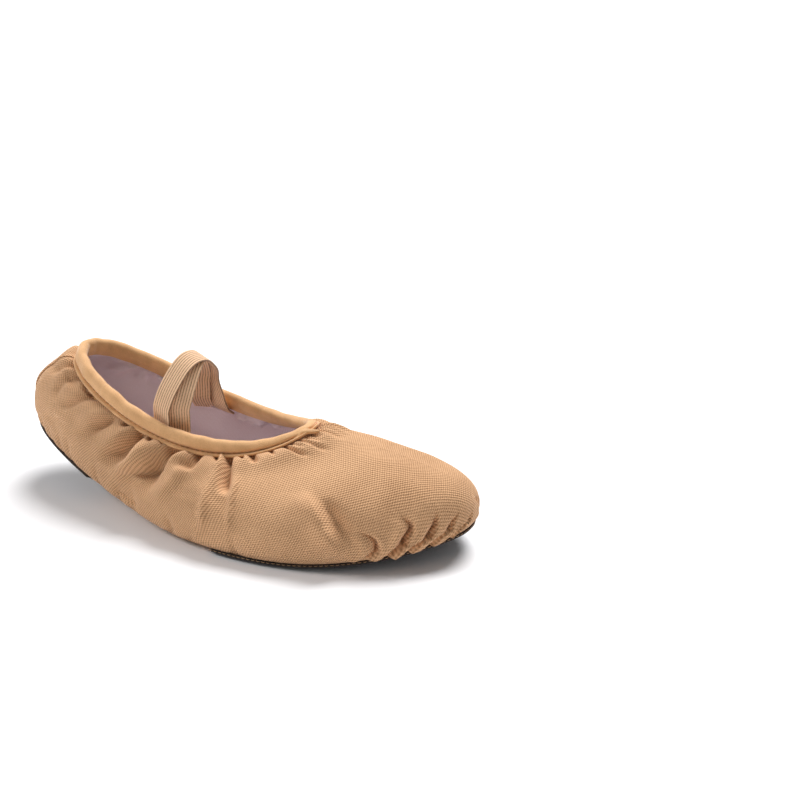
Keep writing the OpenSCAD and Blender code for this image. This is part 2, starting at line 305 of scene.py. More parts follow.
def thread(name, paths, radius, material):
    """Stitches: each path is a short list of points, swept as a round thread with shut ends."""
    sides = 6
    verts, faces = [], []
    turn = np.linspace(0, TAU, sides, endpoint=False)
    for path in paths:
        path = np.asarray(path, float)
        along = unit(np.gradient(path, axis=0))
        side = unit(np.cross(along, [0.0, 0.12, 1.0]))
        other = np.cross(side, along)
        taper = np.ones(len(path))
        taper[0] = taper[-1] = 0.45
        spokes = (side[:, None] * np.cos(turn)[None, :, None]
                  + other[:, None] * np.sin(turn)[None, :, None])
        ring = path[:, None] + spokes * (radius * taper)[:, None, None]
        base = len(verts)
        verts.extend(ring.reshape(-1, 3))
        faces.extend((grid_faces(len(path), sides, closed=True) + base).tolist())
        faces.append([base + j for j in range(sides)][::-1])
        last = base + (len(path) - 1) * sides
        faces.append([last + j for j in range(sides)])
    mesh = bpy.data.meshes.new(name)
    mesh.from_pydata([tuple(v) for v in verts], [], faces)
    mesh.polygons.foreach_set("use_smooth", [True] * len(mesh.polygons))
    mesh.materials.append(material)
    obj = bpy.data.objects.new(name, mesh)
    bpy.context.scene.collection.objects.link(obj)
    return obj


# ---------------------------------------------------------------- materials

def node_material(name):
    """A new material, its shader, and small makers for the nodes that feed it."""
    mat = bpy.data.materials.new(name)
    mat.use_nodes = True
    nodes, links = mat.node_tree.nodes, mat.node_tree.links
    shader = nodes["Principled BSDF"]

    def add(kind, **values):
        node = nodes.new(kind)
        for key, value in values.items():
            if key.startswith("in_"):
                node.inputs[key[3:].replace("_", " ")].default_value = value
            else:
                setattr(node, key, value)
        return node

    def math_node(op, a, b=None):
        node = add("ShaderNodeMath", operation=op)
        for socket, value in zip(node.inputs, (a, b)):
            if value is None:
                continue
            if hasattr(value, "is_output"):
                links.new(value, socket)
            else:
                socket.default_value = value
        return node.outputs[0]

    def ramp(source, stops):
        node = add("ShaderNodeValToRGB")
        links.new(source, node.inputs[0])
        while len(node.color_ramp.elements) < len(stops):
            node.color_ramp.elements.new(0.5)
        for element, (place, colour) in zip(node.color_ramp.elements, stops):
            element.position = place
            element.color = (*colour, 1)
        return node.outputs[0]

    def bump(height, distance):
        node = add("ShaderNodeBump", in_Strength=1.0, in_Distance=distance)
        links.new(height, node.inputs["Height"])
        return node.outputs[0]

    return mat, shader, links, add, math_node, ramp, bump


def woven(name, dark, light, pitch, turn, bump_height, blotch, roughness, sheen, twill=0.0, fuzz=0.5):
    """Cloth: a weave of two thread directions at a real pitch, on the sheet's flat layout. turn is
    the weave's angle in degrees, blotch the scale of its uneven colour, fuzz its loose fibres."""
    mat, shader, links, add, calc, ramp, bump = node_material(name)
    uv = add("ShaderNodeUVMap", uv_map="UVMap")
    place = add("ShaderNodeMapping")
    place.inputs["Rotation"].default_value = (0, 0, math.radians(turn))
    links.new(uv.outputs[0], place.inputs[0])
    wander = add("ShaderNodeTexNoise", in_Scale=90.0, in_Detail=2.0)
    links.new(place.outputs[0], wander.inputs["Vector"])
    sway = add("ShaderNodeVectorMath", operation="MULTIPLY_ADD")
    links.new(wander.outputs["Color"], sway.inputs[0])
    sway.inputs[1].default_value = (pitch * 0.7,) * 3
    links.new(place.outputs[0], sway.inputs[2])
    split = add("ShaderNodeSeparateXYZ")
    links.new(sway.outputs[0], split.inputs[0])
    across = calc("MULTIPLY", split.outputs[0], TAU / pitch)
    down = calc("MULTIPLY", split.outputs[1], TAU / pitch)
    if twill:
        across = calc("ADD", across, calc("MULTIPLY", down, twill))
    weave = calc("MULTIPLY", calc("SINE", across), calc("SINE", down))
    weave = calc("MULTIPLY_ADD", weave, 0.5)
    weave.node.inputs[2].default_value = 0.5
    threads = add("ShaderNodeTexNoise", in_Scale=1400.0, in_Detail=2.0)
    links.new(place.outputs[0], threads.inputs["Vector"])
    patch = add("ShaderNodeTexNoise", in_Scale=blotch, in_Detail=4.0, in_Roughness=0.6)
    links.new(uv.outputs[0], patch.inputs["Vector"])
    height = calc("ADD", weave, calc("MULTIPLY", threads.outputs["Fac"], fuzz))
    # The colour follows the weave's height: painted highlight on the thread crossings and painted shade
    # between the threads. The fibre and blotch noise are the cloth's own uneven colour.
    tone = calc("ADD", calc("MULTIPLY", height, 0.62), calc("MULTIPLY", patch.outputs["Fac"], 0.5))
    colour = ramp(tone, [(0.22, dark), (0.95, light)])
    links.new(colour, shader.inputs["Base Color"])
    rough = calc("SUBTRACT", roughness + 0.06, calc("MULTIPLY", weave, 0.1))
    links.new(rough, shader.inputs["Roughness"])
    links.new(bump(height, bump_height), shader.inputs["Normal"])
    shader.inputs["Sheen Weight"].default_value = sheen
    shader.inputs["Sheen Roughness"].default_value = 0.5
    shader.inputs["Specular IOR Level"].default_value = 0.25
    return mat


def napped(name, dark, light, scale, bump_height, roughness, sheen):
    """Suede, felt or thread: soft fibres with no direction."""
    mat, shader, links, add, calc, ramp, bump = node_material(name)
    spot = add("ShaderNodeTexCoord")
    fibre = add("ShaderNodeTexNoise", in_Scale=scale, in_Detail=5.0, in_Roughness=0.65)
    links.new(spot.outputs["Object"], fibre.inputs["Vector"])
    patch = add("ShaderNodeTexNoise", in_Scale=scale / 14, in_Detail=3.0)
    links.new(spot.outputs["Object"], patch.inputs["Vector"])
    tone = calc("ADD", calc("MULTIPLY", fibre.outputs["Fac"], 0.55),
                calc("MULTIPLY", patch.outputs["Fac"], 0.45))
    links.new(ramp(tone, [(0.3, dark), (0.7, light)]), shader.inputs["Base Color"])
    rough = calc("ADD", calc("MULTIPLY", fibre.outputs["Fac"], 0.12), roughness - 0.06)
    links.new(rough, shader.inputs["Roughness"])
    links.new(bump(fibre.outputs["Fac"], bump_height), shader.inputs["Normal"])
    shader.inputs["Sheen Weight"].default_value = sheen
    shader.inputs["Specular IOR Level"].default_value = 0.2
    return mat


def ribbed(name, dark, light, width, ribs):
    """Elastic webbing: UV runs across the strap in X and along it in Y, in metres."""
    mat, shader, links, add, calc, ramp, bump = node_material(name)
    uv = add("ShaderNodeUVMap", uv_map="UVMap")
    split = add("ShaderNodeSeparateXYZ")
    links.new(uv.outputs[0], split.inputs[0])
    rib = calc("ABSOLUTE", calc("SINE", calc("MULTIPLY", split.outputs[0], math.pi * ribs / width)))
    pick = calc("SINE", calc("MULTIPLY", split.outputs[1], TAU / (0.7 * MM)))
    noise = add("ShaderNodeTexNoise", in_Scale=900.0, in_Detail=3.0)
    links.new(uv.outputs[0], noise.inputs["Vector"])
    fine = calc("ADD", calc("MULTIPLY", pick, 0.16), calc("MULTIPLY", noise.outputs["Fac"], 0.5))
    height = calc("ADD", rib, fine)
    # The colour gets darker as the ribs and picks go down: painted shade in the grooves between them. The
    # noise is the elastic's own uneven colour.
    links.new(ramp(height, [(0.15, dark), (1.2, light)]), shader.inputs["Base Color"])
    shader.inputs["Roughness"].default_value = 0.72
    shader.inputs["Sheen Weight"].default_value = 0.25
    shader.inputs["Specular IOR Level"].default_value = 0.3
    links.new(bump(fine, 0.18 * MM), shader.inputs["Normal"])
    return mat


# Each cloth's dark and light are the ends of its colour ramp: painted shade between the threads and painted
# highlight on their crossings, mixed with the cloth's own blotchy colour.
CANVAS = woven("canvas", (0.27, 0.118, 0.043), (0.84, 0.50, 0.27), 1.35 * MM, 10, 0.35 * MM, 26,
               0.86, 0.12, fuzz=0.35)
LINING = woven("lining_cotton", (0.74, 0.58, 0.62), (0.96, 0.85, 0.88), 0.7 * MM, 10, 0.08 * MM, 18,
               0.88, 0.2)
SOCK = woven("sock_cotton", (0.70, 0.57, 0.60), (0.94, 0.86, 0.88), 0.8 * MM, 0, 0.1 * MM, 22,
             0.88, 0.2, twill=0.8)
JERSEY = woven("binding_jersey", (0.46, 0.225, 0.08), (0.96, 0.56, 0.26), 0.5 * MM, 45, 0.08 * MM, 160,
               0.66, 0.35, fuzz=0.35)
TAPE = woven("label_tape", (0.56, 0.32, 0.12), (0.82, 0.52, 0.24), 0.5 * MM, 0, 0.05 * MM, 20, 0.7, 0.2)
SUEDE = napped("suede", (0.012, 0.008, 0.007), (0.05, 0.034, 0.026), 1500, 0.2 * MM, 0.9, 0.15)
FOAM = napped("pad_felt", (0.62, 0.6, 0.52), (0.8, 0.78, 0.7), 900, 0.2 * MM, 0.95, 0.1)
TAN_THREAD = napped("tan_thread", (0.38, 0.19, 0.07), (0.66, 0.39, 0.17), 2500, 0.1 * MM, 0.6, 0.2)
LIGHT_THREAD = napped("light_thread", (0.26, 0.16, 0.085), (0.45, 0.31, 0.19), 2500, 0.1 * MM, 0.55, 0.1)
DARK_THREAD = napped("dark_thread", (0.03, 0.028, 0.035), (0.10, 0.09, 0.11), 2500, 0.1 * MM, 0.6, 0.1)
# The dark of each elastic is painted shade in the grooves between its ribs.
WEB = ribbed("ribbed_elastic", (0.20, 0.095, 0.04), (0.86, 0.56, 0.34), 10 * MM, 8)
FLAT_ELASTIC = ribbed("flat_elastic", (0.55, 0.52, 0.48), (0.86, 0.84, 0.80), 3 * MM, 5)


# ---------------------------------------------------------------- gathers, folds and pleats

FINE_A = np.linspace(0, TAU, 2881)
TOP_LENGTH = np.concatenate([[0], np.cumsum(np.linalg.norm(np.diff(topline(FINE_A), axis=0), axis=-1))])


def top_angle(s):
    """The angle at a distance along the topline from the throat."""
    return np.interp(np.mod(s, TOP_LENGTH[-1]), TOP_LENGTH, FINE_A)


def wrap(a):
    return (a + math.pi) % TAU - math.pi


# How many times deeper than first drawn every fold is
FOLD = 1.9


class Drape:
    """How far the canvas stands out of its smooth wall, on a grid of heights (rows) and angles."""

    def __init__(self, rows, cols):
        self.k = np.concatenate([np.linspace(-2, 0, rows // 3)[:-1], np.linspace(0, 1.1, rows)])
        self.a = np.linspace(-math.pi, math.pi, cols)
        self.kk, self.aa = np.meshgrid(self.k, self.a, indexing="ij")
        step = math.radians(0.5)
        ahead = wall(self.aa + step, self.kk)
        self.spread = np.linalg.norm(ahead - wall(self.aa - step, self.kk), axis=-1) / (2 * step)
        steps = np.linalg.norm(np.diff(wall(self.aa, self.kk), axis=0), axis=-1)
        run = np.vstack([np.zeros((1, cols)), np.cumsum(steps, 0)])
        top_row = np.searchsorted(self.k, 1.0 - 1e-9)
        self.below = run[top_row][None] - run
        self.out = np.zeros_like(run)

    def crease(self, path, depth, left, right, puff=0.0, widen=0.0, open_top=False, open_low=False):
        """A valley along a path of (degrees, height) points, from the top down. left and right are
        its widths; puff raises a rounded roll beside its left edge."""
        way = smooth_curve(path, 40)
        order = np.argsort(way[:, 1])
        heights, angles = way[order, 1], np.radians(way[order, 0])
        middle = np.interp(self.kk, heights, angles)
        t = (heights[-1] - self.kk) / max(heights[-1] - heights[0], 1e-6)
        share = np.clip(t, 0, 1)
        side = wrap(self.aa - middle) * self.spread
        grow = 1 + widen * share
        w = np.where(side < 0, left, right) * grow
        length = (heights[-1] - heights[0]) * 45 * MM
        past_top = np.maximum(-t, 0) * length
        past_low = np.maximum(t - 1, 0) * length
        fade = np.exp(-((past_top + past_low) / (2 * MM)) ** 2)
        if not open_top:
            fade = fade * ease(share * 3 + 0.1)
        if not open_low:
            fade = fade * ease((1 - share) * 2.2 + 0.05)
        depth, puff = depth * FOLD, puff * FOLD
        fade = fade * ease(self.below / (1.8 * MM))
        self.out -= depth * fade * np.exp(-(side / w) ** 2)
        if puff:
            roll = (side + left * grow * 1.7) / (left * grow)
            self.out += puff * fade * np.exp(-roll ** 2)

    def ridge(self, path, height, left, right):
        """A crease turned outward."""
        self.crease(path, -height, left, right)

    def lining(self, gap, least):
        """A smoother copy, gap further in on the whole and at least least further in anywhere."""
        inner = copy.copy(self)
        soft = self.out
        for _ in range(3):
            soft = (np.roll(soft, 7, 1) + np.roll(soft, -7, 1) + soft) / 3
            soft[1:-1] = (soft[2:] + soft[:-2] + soft[1:-1]) / 3
        inner.out = np.minimum(soft - gap, self.out - least)
        for reach in (-9, -6, -3, 3, 6, 9):
            inner.out = np.minimum(inner.out, np.roll(self.out, reach, 1) - least)
        return inner

    def read(self, a, k):
        """Bilinear reading of the grid."""
        i = np.clip((wrap(a) + math.pi) / TAU * (len(self.a) - 1), 0, len(self.a) - 1.001)
        j = np.clip(np.interp(k, self.k, np.arange(len(self.k))), 0, len(self.k) - 1.001)
        i0, j0 = i.astype(int), j.astype(int)
        fi, fj = i - i0, j - j0
        g = self.out
        low = g[j0, i0] * (1 - fi) + g[j0, i0 + 1] * fi
        high = g[j0 + 1, i0] * (1 - fi) + g[j0 + 1, i0 + 1] * fi
        return low * (1 - fj) + high * fj


def roll_under_binding(drape):
    """The canvas bulges a little below the binding and is pulled in at the seam."""
    below = np.maximum(drape.below, 0)
    drape.out += 2.6 * MM * np.exp(-((below - 7 * MM) / (7 * MM)) ** 2)
    drape.out -= 0.8 * MM * np.exp(-(below / (1.6 * MM)) ** 2)


def near_gathers(drape):
    """The drawn-in folds on the outer side of the foot, from the heel to the throat."""
    mark = drape.crease
    mark([(246, 0.98), (245, 0.78), (242.5, 0.5)], 1.5 * MM, 2.6 * MM, 1.6 * MM, 0.5 * MM, 0.8)
    mark([(252, 1.0), (251, 0.85)], 1.0 * MM, 1.4 * MM, 1.2 * MM, open_top=True)
    mark([(259, 1.0), (258, 0.66), (254.5, 0.22)], 2.6 * MM, 2.4 * MM, 1.6 * MM, 0.7 * MM, 1.8,
         open_top=True)
    mark([(263, 1.0), (263.5, 0.85)], 1.5 * MM, 1.2 * MM, 1.0 * MM, open_top=True)
    mark([(268, 1.0), (268.5, 0.9)], 0.9 * MM, 1.2 * MM, 1.0 * MM, open_top=True)
    mark([(276.5, 1.0), (270.5, 0.77), (267.5, 0.42), (265.5, 0.1)], 3.4 * MM, 4.2 * MM, 2.2 * MM,
         0.6 * MM, 1.5, open_top=True)
    mark([(281, 1.0), (280, 0.9)], 0.9 * MM, 1.2 * MM, 1.2 * MM, open_top=True)
    mark([(286, 1.0), (283, 0.88), (278, 0.7)], 2.0 * MM, 2.4 * MM, 1.3 * MM, 0.6 * MM, 1.4,
         open_top=True)
    mark([(293, 1.0), (291.5, 0.86)], 1.5 * MM, 1.3 * MM, 1.1 * MM, open_top=True)
    mark([(299.5, 1.0), (294.5, 0.8), (291, 0.55)], 2.6 * MM, 2.2 * MM, 1.1 * MM, 0.9 * MM, 0.9,
         open_top=True)
    mark([(304.5, 1.0), (303.5, 0.92)], 0.9 * MM, 1.0 * MM, 0.9 * MM, open_top=True)
    mark([(310, 1.0), (307, 0.88)], 1.5 * MM, 1.4 * MM, 1.0 * MM, 0.3 * MM, 1.0, open_top=True)
    mark([(320, 1.0), (317, 0.92)], 0.8 * MM, 1.0 * MM, 0.9 * MM, open_top=True)
    drape.ridge([(287, 0.7), (285, 0.35), (284, 0.0)], 1.0 * MM, 2.6 * MM, 2.0 * MM)
    drape.ridge([(299, 0.85), (293, 0.5), (290.5, 0.05)], 0.9 * MM, 2.0 * MM, 1.0 * MM)
    # Broad hollows that run down from the gathers
    mark([(213, 0.9), (215, 0.7), (218, 0.5)], 0.8 * MM, 2.5 * MM, 2.5 * MM)
    mark([(230, 0.97), (228.5, 0.7), (225, 0.45)], 1.4 * MM, 2.6 * MM, 2.6 * MM, open_top=True)
    mark([(247, 0.93), (243.5, 0.55), (240, 0.3)], 1.3 * MM, 3 * MM, 3 * MM)
    mark([(257, 0.95), (255.5, 0.6), (250.5, 0.2)], 1.5 * MM, 3.4 * MM, 3.4 * MM)
    mark([(271, 0.85), (265, 0.48), (258, 0.17)], 1.7 * MM, 3.6 * MM, 3.6 * MM)
    drape.ridge([(264, 0.85), (261, 0.5), (254.5, 0.15)], 1.2 * MM, 3.6 * MM, 4 * MM)
    drape.ridge([(279, 0.8), (274, 0.45), (271, 0.15)], 1.2 * MM, 4 * MM, 4 * MM)
    # The side where the cloth dips in over the waist of the sole
    mark([(263, 0.35), (261, 0.12), (260, -0.1)], 1.5 * MM, 7 * MM, 7 * MM, open_low=True)


def toe_pleats(drape):
    """Pleats that gather the canvas into the sole round the toe: each rolls over the next."""
    mark = drape.crease
    drape.ridge([(314, 0.62), (313, 0.34), (314, 0.1), (316.5, -0.1)], 1.8 * MM, 7 * MM, 3.2 * MM)
    mark([(318, 0.54), (316.8, 0.34), (317.5, 0.14), (321, 0.0)], 1.7 * MM, 2.4 * MM, 3.4 * MM, widen=0.6)
    pleats = (([(320.0, 0.20), (323.4, 0.09), (324.0, -0.05), (322.0, -0.4)], 1.3 * MM),
              ([(332.0, 0.25), (333.2, 0.12), (330.0, -0.05), (327.0, -0.5)], 2.0 * MM),
              ([(341.6, 0.19), (339.6, 0.06), (335.0, -0.12), (332.0, -0.55)], 2.1 * MM),
              ([(349.5, 0.12), (345.4, 0.01), (341.0, -0.2), (338.5, -0.6)], 1.8 * MM),
              ([(357.0, 0.06), (352.5, -0.1), (348.0, -0.35), (346.0, -0.6)], 1.3 * MM))
    for path, depth in pleats:
        # A rounded slope down into the pleat, and the dark slot where it tucks under the next roll
        mark(path, depth * 0.75, 3.2 * MM, 0.7 * MM, depth * 0.55, open_low=True)
        mark(path, depth, 0.8 * MM, 0.6 * MM, open_low=True)
        lip = [(turn + 1.3, height) for turn, height in path]
        drape.crease(lip, -0.3 * depth, 0.8 * MM, 1.6 * MM, open_low=True)
    # The far side of the toe, and small puckers all along the sole edge
    for turn in (4, 11.5, 19, 27, 35, 45, 57):
        at = turn + rng.uniform(-1, 1)
        size = rng.uniform(0.6, 1.0)
        mark([(at - 3.5, 0.16 * size), (at, 0.0), (at + 2.0, -0.4)], 2.6 * MM * size, 0.8 * MM, 2.8 * MM,
             open_low=True)
    for turn in range(66, 300, 9):
        at = turn + rng.uniform(-3, 3)
        depth = rng.uniform(0.3, 0.9) * MM
        mark([(at, rng.uniform(0.06, 0.22)), (at + rng.uniform(-1.5, 1.5), -0.1), (at, -0.6)], depth,
             rng.uniform(1.4, 3.0) * MM, rng.uniform(1.4, 3.0) * MM, open_low=True)


def far_gathers(drape):
    """Gathers on the inner side and round the heel, at uneven steps along the topline."""
    s = 9 * MM
    while s < TOP_LENGTH[-1]:
        at = math.degrees(float(top_angle(s)))
        s += rng.uniform(5, 10) * MM
        if at > 238:
            break
        at_heel = math.exp(-((at - 180) / 30) ** 2)
        depth = rng.uniform(0.9, 2.8) * MM * (1 - 0.75 * at_heel)
        drift = rng.uniform(-7, 7)
        low = rng.uniform(0.45, 0.9)
        drape.crease([(at, 1.0), (at + drift * 0.3, mix(1.0, low, 0.5)), (at + drift, low)], depth,
                     rng.uniform(1.2, 2.4) * MM, rng.uniform(1.2, 2.4) * MM, 0.4 * MM, rng.uniform(0.5, 2),
                     open_top=True)


def throat_ruches(drape):
    """Short fine ruches in front of the throat."""
    for at in (-33, -27.5, -22, -16.5, -11, -5, 2, 9, 15, 21.5, 28):
        turn = at + rng.uniform(-1, 1)
        low = rng.uniform(0.84, 0.93)
        drape.crease([(turn, 1.0), (turn, mix(1.0, low, 0.5)), (turn * 0.96, low)],
                     rng.uniform(0.5, 1.2) * MM, 0.9 * MM, 0.9 * MM, widen=1.2, open_top=True)


def soft_waves(drape):
    """Low uneven swells, as soft cloth has everywhere."""
    for _ in range(46):
        at = rng.uniform(0, 360)
        k = rng.uniform(0.1, 0.95)
        span = rng.uniform(0.12, 0.3)
        drift = rng.uniform(-9, 9)
        size = rng.uniform(4, 9) * MM
        depth = rng.uniform(-0.55, 0.55) * MM
        drape.crease([(at, k + span), (at + drift, k), (at + drift * 1.4, k - span)], depth, size, size)


def make_drape():
    drape = Drape(230, 2881)
    roll_under_binding(drape)
    near_gathers(drape)
    toe_pleats(drape)
    far_gathers(drape)
    throat_ruches(drape)
    soft_waves(drape)
    return drape


DRAPE = make_drape()
LINING_DRAPE = DRAPE.lining(1.7 * MM, 1.25 * MM)


# ---------------------------------------------------------------- the upper

def seam_angle(side, k, x):
    """The angle at which a row of the wall passes a given x, found by halving the range."""
    low = np.full(np.shape(k), math.radians(8))
    high = np.full(np.shape(k), math.radians(172))
    for _ in range(22):
        middle = (low + high) / 2
        ahead = wall(side * middle, k)[..., 0] > x
        low = np.where(ahead, middle, low)
        high = np.where(ahead, high, middle)
    return (low + high) / 2


# The rows of the upper's grid, from the middle of the sole to just inside the binding
K_ROWS = np.concatenate([np.linspace(-1.998, -1.06, 14), np.linspace(-1, -0.05, 14),
                         np.linspace(0, 0.12, 14)[:-1], np.linspace(0.12, 1.0, 84), [1.03, 1.07]])


def column_shares(cols, dense):
    """Shares of the way along a piece, three times as close together between the two of dense."""
    f = np.linspace(0, 1, 1001)
    weight = 1 + 2 * ease((f - dense[0]) * 20) * ease((dense[1] - f) * 20)
    total = np.cumsum(weight)
    return np.interp(np.linspace(total[0], total[-1], cols + 1), total, f)


def upper_piece(name, from_a, to_a, cols, drape, material, flat, dense=(2, 2)):
    """A piece of the wall between two angles given per row; flat lays it out for the weave."""
    k = K_ROWS[:, None] * np.ones((1, cols + 1))
    a = from_a[:, None] + (to_a - from_a)[:, None] * column_shares(cols, dense)[None]
    points = wall(a, k) + wall_out(a, k) * drape.read(a, k)[..., None]
    return grid(name, points, material, flat(a, k))


def bend_at_arch(obj):
    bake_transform(obj)


def make_upper():
    near = -seam_angle(-1, K_ROWS, SEAM_X)
    far = seam_angle(1, K_ROWS, SEAM_X)
    heel = np.full(len(K_ROWS), math.pi)
    vamp = upper_piece("vamp_cloth", near, far, 680, DRAPE, CANVAS, cloth_uv, dense=(0.17, 0.62))
    lateral = upper_piece("lateral_quarter_cloth", -heel, near, 270, DRAPE, CANVAS, side_uv)
    medial = upper_piece("medial_quarter_cloth", far, heel, 270, DRAPE, CANVAS, side_uv)
    for piece, nodes in ((vamp, ["vamp"]), (lateral, ["lateral_quarter", "arch_panel"]),
                         (medial, ["medial_quarter"])):
        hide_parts(*nodes)
        bend_at_arch(piece)


def make_lining():
    near = -seam_angle(-1, K_ROWS, SEAM_X)
    far = seam_angle(1, K_ROWS, SEAM_X)
    front = upper_piece("vamp_lining_cloth", near, far, 260, LINING_DRAPE, LINING, cloth_uv)
    back = upper_piece("quarter_lining_cloth", far, near + TAU, 300, LINING_DRAPE, LINING, side_uv)
    for piece, nodes in ((front, ["vamp_lining"]), (back, ["quarter_lining", "arch_lining"])):
        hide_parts(*nodes)
        bend_at_arch(piece)


# ---------------------------------------------------------------- the binding

# The roll's section with the lip and the groove below it, as [outward, upward] from the topline
BINDING_SECTION = np.array([
    [0.3, 0.35], [1.3, -0.2], [2.15, 0.05], [2.3, 0.75], [1.7, 1.35], [0.45, 1.75], [1.2, 2.35],
    [1.75, 3.1], [1.8, 4.6], [1.55, 6.0], [0.95, 7.2], [0.05, 7.9], [-0.95, 8.1], [-1.95, 7.8],
    [-2.75, 7.0], [-3.15, 5.8], [-3.25, 4.0], [-3.2, 2.5], [-3.0, 1.2], [-2.8, 0.4], [-2.2, 0.3]]) * MM


def loop_points(section, a):
    """A section of [outward, upward] points swept along the topline."""
    base, out, up = topline(a)[:, None], topline_out(a)[:, None], rise(a)[:, None]
    return base + out * section[..., 0:1] + up * section[..., 1:2]


def uneven(a, size, waves=14):
    """A smooth random curve round the opening."""
    total = np.zeros_like(a)
    for _ in range(waves):
        total += rng.uniform(0.3, 1) * np.sin(rng.integers(5, 34) * a + rng.uniform(0, TAU))
    return size * total / math.sqrt(waves)


def flattened(a):
    """How much of its height the roll keeps: the lap at the throat presses it down."""
    from_throat = np.degrees((a + math.pi) % TAU - math.pi)
    return 1 - 0.32 * np.exp(-((from_throat - 15) / 52) ** 2)


def swept_round(name, node, points, uvs, material):
    """A section swept right round the opening; points and uvs run [along, across]."""
    obj = grid(name, np.swapaxes(points, 0, 1).copy(), material, np.swapaxes(uvs, 0, 1).copy(), closed=True)
    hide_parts(node)
    bend_at_arch(obj)


def make_binding():
    n, m = 900, 64
    a = np.linspace(0, TAU, n, endpoint=False)
    section = smooth_curve(BINDING_SECTION, m)
    swept = np.broadcast_to(section, (n, m, 2)).copy()
    # The roll swells and leans a little as it goes, and one end of the tape laps over the other
    middle = np.array([-0.7, 4.0]) * MM
    swell = 1.05 + uneven(a, 0.04)
    lap = np.degrees(a) - 233
    swell += np.where((lap > 0) & (lap < 40), 0.07 * np.exp(-(lap / 18) ** 2), 0)
    upper = ease((swept[..., 1] - 1.6 * MM) / (2 * MM))[..., None]
    swept += (swept - middle) * ((swell - 1)[:, None, None]) * upper
    swept[..., 0] += uneven(a, 0.22 * MM)[:, None] * upper[..., 0]
    swept[..., 0] += uneven(a, 0.12 * MM, 20)[:, None] * (1 - upper[..., 0])
    swept[..., 1] += uneven(a, 0.16 * MM)[:, None] * upper[..., 0]
    swept[..., 1] *= flattened(a)[:, None]
    length = np.interp(a, FINE_A, TOP_LENGTH)
    across = np.concatenate([[0], np.cumsum(np.linalg.norm(np.diff(section, axis=0), axis=1))])
    uvs = stack(length[:, None], across[None])
    swept_round("binding_roll", "binding", loop_points(swept, a), uvs, JERSEY)


def make_topline_elastic():
    """The flat elastic hidden in the roll."""
    core = np.array([[-0.4, 3.4], [-0.4, 6.0], [-1.6, 6.0], [-1.6, 3.4], [-0.4, 3.4]]) * MM
    n = 240
    a = np.linspace(0, TAU, n, endpoint=False)
    points = loop_points(core[None] * stack(np.ones((n, 1)), flattened(a)[:, None]), a)
    uvs = stack((np.arange(len(core)) * 3 * MM)[None], a[:, None] * 0.05)
    swept_round("topline_elastic_band", "topline_elastic", points, uvs, FLAT_ELASTIC)


def make_binding_stitches():
    """One row of stitches in the groove above the lip."""
    pitch = 2.6 * MM
    offs = np.array([0.75, 1.1, 1.1, 0.75]) * MM
    paths = []
    for i in range(int(TOP_LENGTH[-1] / pitch)):
        a = top_angle(np.linspace(i * pitch, i * pitch + pitch * 0.66, 4))
        paths.append(topline(a) + topline_out(a) * offs[:, None] + rise(a) * 1.75 * MM)
    stitches = thread("binding_stitches", paths, 0.2 * MM, TAN_THREAD)
    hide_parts("binding_stitching")
    bend_at_arch(stitches)


def make_binding_tail():
    """The end of the tape at the throat: it runs on over the other side and tapers to a tip."""
    n = 60
    t = np.linspace(0, 1, n)
    turn = np.radians(mix(332, 347, np.clip(t / 0.45, 0, 1)))
    middle = np.broadcast_to(np.array([0.2, 3.4]) * MM, (n, 1, 2)) * flattened(turn)[:, None, None]
    base = loop_points(middle, turn)[:, 0]
    past = np.clip((t - 0.45) / 0.55, 0, 1)
    tip = wall(np.radians([353.0]), np.array([0.955]))[0] + np.array([0, 0, 1.7 * MM])
    base = mix(base, tip, past[:, None])
    base = smooth_curve(base[::6], n)
    base[:, 2] += mix(-0.8 * MM, 0.9 * MM, ease(t * 1.6)) * (1 - 0.6 * past)
    along = unit(np.gradient(base, axis=0))
    face = unit(wall_out(turn, np.full(n, 0.98)) + np.array([0, 0, 0.9]))
    side = unit(np.cross(along, face))
    face = np.cross(side, along)
    half_w = mix(2.3 * MM, 1.0 * MM, ease((t - 0.3) / 0.7)) * np.sqrt(np.clip(1 - past ** 8, 0.05, 1))
    thick = mix(0.5 * MM, 1.3 * MM, ease(t * 2)) * mix(1.0, 0.55, past)
    ring = np.linspace(0, TAU, 28, endpoint=False)
    flat = np.sign(np.cos(ring)) * np.abs(np.cos(ring)) ** 0.7
    points = (base[None] + side[None] * (half_w[None] * flat[:, None])[..., None]
              + face[None] * (thick[None] * np.sin(ring)[:, None])[..., None])
    points = np.swapaxes(points, 0, 1)
    # Each end shuts to a point
    middles = points.mean(1, keepdims=True)
    points = np.concatenate([np.broadcast_to(middles[:1], points[:1].shape), points,
                             np.broadcast_to(middles[-1:], points[:1].shape)])
    run = np.concatenate([[0], np.cumsum(np.linalg.norm(np.diff(base, axis=0), axis=1))])
    run = np.concatenate([run[:1], run, run[-1:]])
    uvs = stack(run[:, None], flat[None] * 4 * MM)
    tail = grid("binding_tail", points, JERSEY, uvs, closed=True)
    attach(tail, "forefoot")


# ---------------------------------------------------------------- soles and insole

def patch_points(from_deg, to_deg, d, bulge, toe_d=0.0, n=120):
    """A closed outline, in [x, y]: the edge moved in by d, and by toe_d more round the toe, shut by
    a shallow arc."""
    a = np.radians(np.linspace(from_deg, to_deg, n))
    arc = inset(edge(a), d + toe_d * np.exp(-(a / 0.35) ** 2))
    f = np.linspace(0, 1, 42)[1:-1, None]
    back = mix(arc[-1], arc[0], f)
    back[:, 0] += bulge * np.sin(f[:, 0] * math.pi)
    return np.vstack([arc, back])


# Points round the edge of the sole
RIM = edge(np.radians(np.arange(0, 360, 0.5)))


